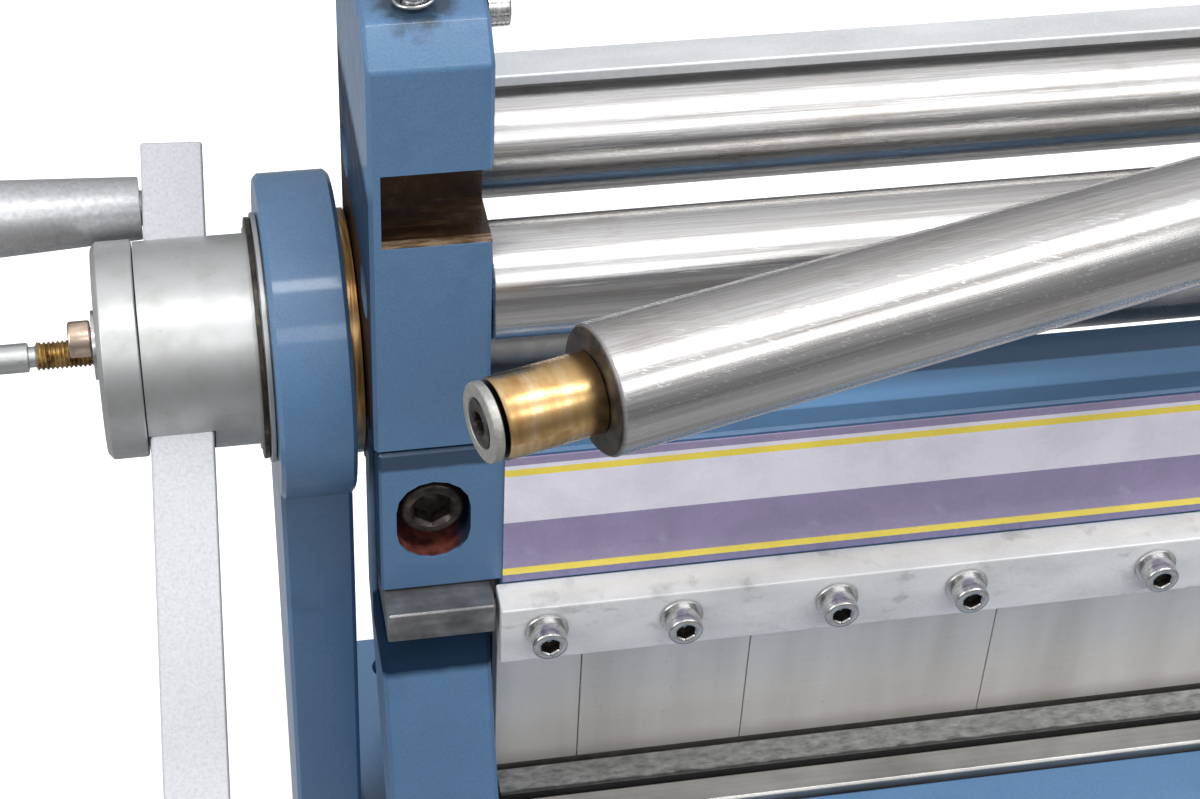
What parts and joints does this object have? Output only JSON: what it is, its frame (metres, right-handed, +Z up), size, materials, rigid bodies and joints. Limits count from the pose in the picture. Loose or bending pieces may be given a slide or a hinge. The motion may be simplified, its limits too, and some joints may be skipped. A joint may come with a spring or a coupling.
{
  "type": "bench sheet metal combination machine",
  "caption": "Bench machine that shears, folds and rolls sheet metal, with a lever on a hub, an eccentric driven ram, a swing-out top roll, split fingers and a blue cast frame.",
  "frame": {"origin": "middle of the bounding box at bench level, which is the middle of the working width", "axes": "+X along the rolls towards the crank, -Y to the front where the operator stands, +Z up"},
  "size_m": [0.7084, 0.3658, 0.4113],
  "materials": {
    "back_gauge_bar": "ground steel",
    "back_gauge_rods": "ground steel",
    "base_frame_left": "blue enamel on a casting",
    "base_frame_right": "blue enamel on a casting",
    "bend_screw_left": "zinc plate",
    "bend_screw_right": "zinc plate",
    "clamp_bar": "ground steel",
    "clamp_screw_1": "zinc plate",
    "clamp_screw_2": "zinc plate",
    "clamp_screw_3": "zinc plate",
    "clamp_screw_4": "zinc plate",
    "clamp_screw_5": "zinc plate",
    "clamp_screw_6": "zinc plate",
    "crank_arm": "blackened steel",
    "crank_grip": "black plastic",
    "cross_shaft": "ground steel",
    "eccentric_left": "zinc plate",
    "eccentric_right": "zinc plate",
    "finger_025_mm": "ground steel",
    "finger_051_mm": "ground steel",
    "finger_076_mm": "ground steel",
    "finger_152_mm": "ground steel",
    "guide_screw_left": "blackened steel",
    "guide_screw_right": "blackened steel",
    "hub_cap": "zinc plate",
    "hub_plate": "zinc plate",
    "hub_screw": "brass and passivated gold plate",
    "inner_retaining_ring": "zinc plate",
    "label_strip": "printed plate with plain bands",
    "latch_screw": "zinc plate",
    "latch_spring": "ground steel",
    "lever_bar": "zinc plate",
    "lever_grip": "black plastic",
    "link_left": "blue enamel on a casting",
    "link_pin_left": "ground steel",
    "link_pin_right": "ground steel",
    "link_right": "blue enamel on a casting",
    "lock_screw": "brass and passivated gold plate",
    "lower_roll": "polished roll with fine wear marks",
    "lower_shear_blade": "ground steel",
    "outer_retaining_ring": "blackened steel",
    "ram_beam": "blue enamel on a casting",
    "rear_roll": "polished roll with fine wear marks",
    "rear_stay_bar": "ground steel",
    "roll_bracket_left": "blue enamel on a casting",
    "roll_bracket_right": "blue enamel on a casting",
    "side_handle": "zinc plate",
    "side_screw": "brass and passivated gold plate",
    "stop_pad_left": "bare iron with oil marks",
    "stop_pad_right": "bare iron with oil marks",
    "swivel_block": "ground steel",
    "table_beam": "blue enamel on a casting",
    "table_front_strip": "ground steel",
    "top_roll": "polished roll with fine wear marks",
    "top_roll_bush": "brass and passivated gold plate",
    "top_roll_end_screw": "blackened steel",
    "top_roll_end_washer": "zinc plate",
    "upper_shear_blade": "ground steel",
    "v_die": "bare iron with oil marks"
  },
  "bodies": {
    "frame": {"base_frame_left": "base_frame_left", "base_frame_right": "base_frame_right", "table_beam": "table_beam", "v_die": "v_die", "table_front_strip": "table_front_strip", "lower_shear_blade": "lower_shear_blade", "guide_screw_left": "guide_screw_left", "guide_screw_right": "guide_screw_right", "link_pin_left": "link_pin_left", "link_pin_right": "link_pin_right", "back_gauge_rods": "back_gauge_rods"},
    "gauge": {"back_gauge_bar": "back_gauge_bar"},
    "ram": {"ram_beam": "ram_beam", "stop_pad_left": "stop_pad_left", "stop_pad_right": "stop_pad_right", "label_strip": "label_strip", "clamp_bar": "clamp_bar", "clamp_screw_1": "clamp_screw_1", "clamp_screw_2": "clamp_screw_2", "clamp_screw_3": "clamp_screw_3", "clamp_screw_4": "clamp_screw_4", "clamp_screw_5": "clamp_screw_5", "clamp_screw_6": "clamp_screw_6", "finger_025_mm": "finger_025_mm", "finger_051_mm": "finger_051_mm", "finger_076_mm": "finger_076_mm", "finger_152_mm": "finger_152_mm", "upper_shear_blade": "upper_shear_blade", "roll_bracket_left": "roll_bracket_left", "roll_bracket_right": "roll_bracket_right", "rear_stay_bar": "rear_stay_bar", "side_screw": "side_screw", "latch_spring": "latch_spring"},
    "shaft": {"cross_shaft": "cross_shaft", "eccentric_left": "eccentric_left", "eccentric_right": "eccentric_right", "hub_cap": "hub_cap", "hub_plate": "hub_plate", "hub_screw": "hub_screw", "inner_retaining_ring": "inner_retaining_ring", "outer_retaining_ring": "outer_retaining_ring"},
    "lever": {"lever_bar": "lever_bar", "side_handle": "side_handle", "lever_grip": "lever_grip"},
    "lock": {"lock_screw": "lock_screw"},
    "left_link": {"link_left": "link_left"},
    "right_link": {"link_right": "link_right"},
    "front_roll": {"lower_roll": "lower_roll", "crank_arm": "crank_arm"},
    "crank_handle": {"crank_grip": "crank_grip"},
    "back_roll": {"rear_roll": "rear_roll"},
    "swivel": {"swivel_block": "swivel_block"},
    "upper_roll": {"top_roll": "top_roll", "top_roll_bush": "top_roll_bush", "top_roll_end_washer": "top_roll_end_washer", "top_roll_end_screw": "top_roll_end_screw"},
    "latch_adjuster": {"latch_screw": "latch_screw"},
    "left_adjuster": {"bend_screw_left": "bend_screw_left"},
    "right_adjuster": {"bend_screw_right": "bend_screw_right"}
  },
  "joints": [
    {"name": "ram_slide", "type": "slide", "parent": "frame", "child": "ram", "axis": [0, 0, 1], "range_m": [-0.002, 0.0065]},
    {"name": "shaft_turn", "type": "hinge", "parent": "ram", "child": "shaft", "pos_m": [0, 0.08532, 0.25255], "axis": [-1, 0, 0], "range_deg": [-15.1, 49]},
    {"name": "left_link_turn", "type": "hinge", "parent": "shaft", "child": "left_link", "pos_m": [0, 0.093, 0.2548], "axis": [-1, 0, 0], "range_deg": [-49, 15.1]},
    {"name": "right_link_turn", "type": "hinge", "parent": "shaft", "child": "right_link", "pos_m": [0, 0.093, 0.2548], "axis": [-1, 0, 0], "range_deg": [-49, 15.1]},
    {"name": "lever_slide", "type": "slide", "parent": "shaft", "child": "lever", "axis": [0.0495, 0.8376, 0.544], "range_m": [0, 0.03]},
    {"name": "lock_turn", "type": "hinge", "parent": "shaft", "child": "lock", "pos_m": [-0.18625, 0.093, 0.2548], "axis": [-1, 0, 0], "range_deg": [-90, 90]},
    {"name": "lower_roll_turn", "type": "hinge", "parent": "ram", "child": "front_roll", "pos_m": [0, 0.058, 0.2967], "axis": [1, 0, 0], "continuous": true},
    {"name": "crank_grip_spin", "type": "hinge", "parent": "front_roll", "child": "crank_handle", "pos_m": [0.236, 0.058, 0.3887], "axis": [1, 0, 0], "continuous": true},
    {"name": "rear_roll_turn", "type": "hinge", "parent": "ram", "child": "back_roll", "pos_m": [0, 0.101, 0.3107], "axis": [1, 0, 0], "continuous": true},
    {"name": "top_roll_swing", "type": "hinge", "parent": "ram", "child": "swivel", "pos_m": [0.16575, 0.0506, 0.3345], "axis": [0, 0, 1], "range_deg": [-14.4, 5]},
    {"name": "top_roll_turn", "type": "hinge", "parent": "swivel", "child": "upper_roll", "pos_m": [0.16575, 0.0506, 0.3345], "axis": [-0.9664, -0.2571, 0], "continuous": true},
    {"name": "latch_screw_turn", "type": "hinge", "parent": "ram", "child": "latch_adjuster", "pos_m": [-0.17255, 0.057, 0.3837], "axis": [0, 0, 1], "range_deg": [-90, 90]},
    {"name": "left_bend_screw_turn", "type": "hinge", "parent": "ram", "child": "left_adjuster", "pos_m": [-0.17075, 0.101, 0.3837], "axis": [0, 0, 1], "range_deg": [-90, 90]},
    {"name": "right_bend_screw_turn", "type": "hinge", "parent": "ram", "child": "right_adjuster", "pos_m": [0.17075, 0.101, 0.3837], "axis": [0, 0, 1], "range_deg": [-90, 90]},
    {"name": "back_gauge_slide", "type": "slide", "parent": "frame", "child": "gauge", "axis": [0, 1, 0], "range_m": [-0.055, 0.01]}
  ],
  "couplings": [
    {"joint": "shaft_turn", "follows": "ram_slide", "rad_per_m": 131.4},
    {"joint": "left_link_turn", "follows": "ram_slide", "rad_per_m": -131.4},
    {"joint": "right_link_turn", "follows": "ram_slide", "rad_per_m": -131.4}
  ]
}
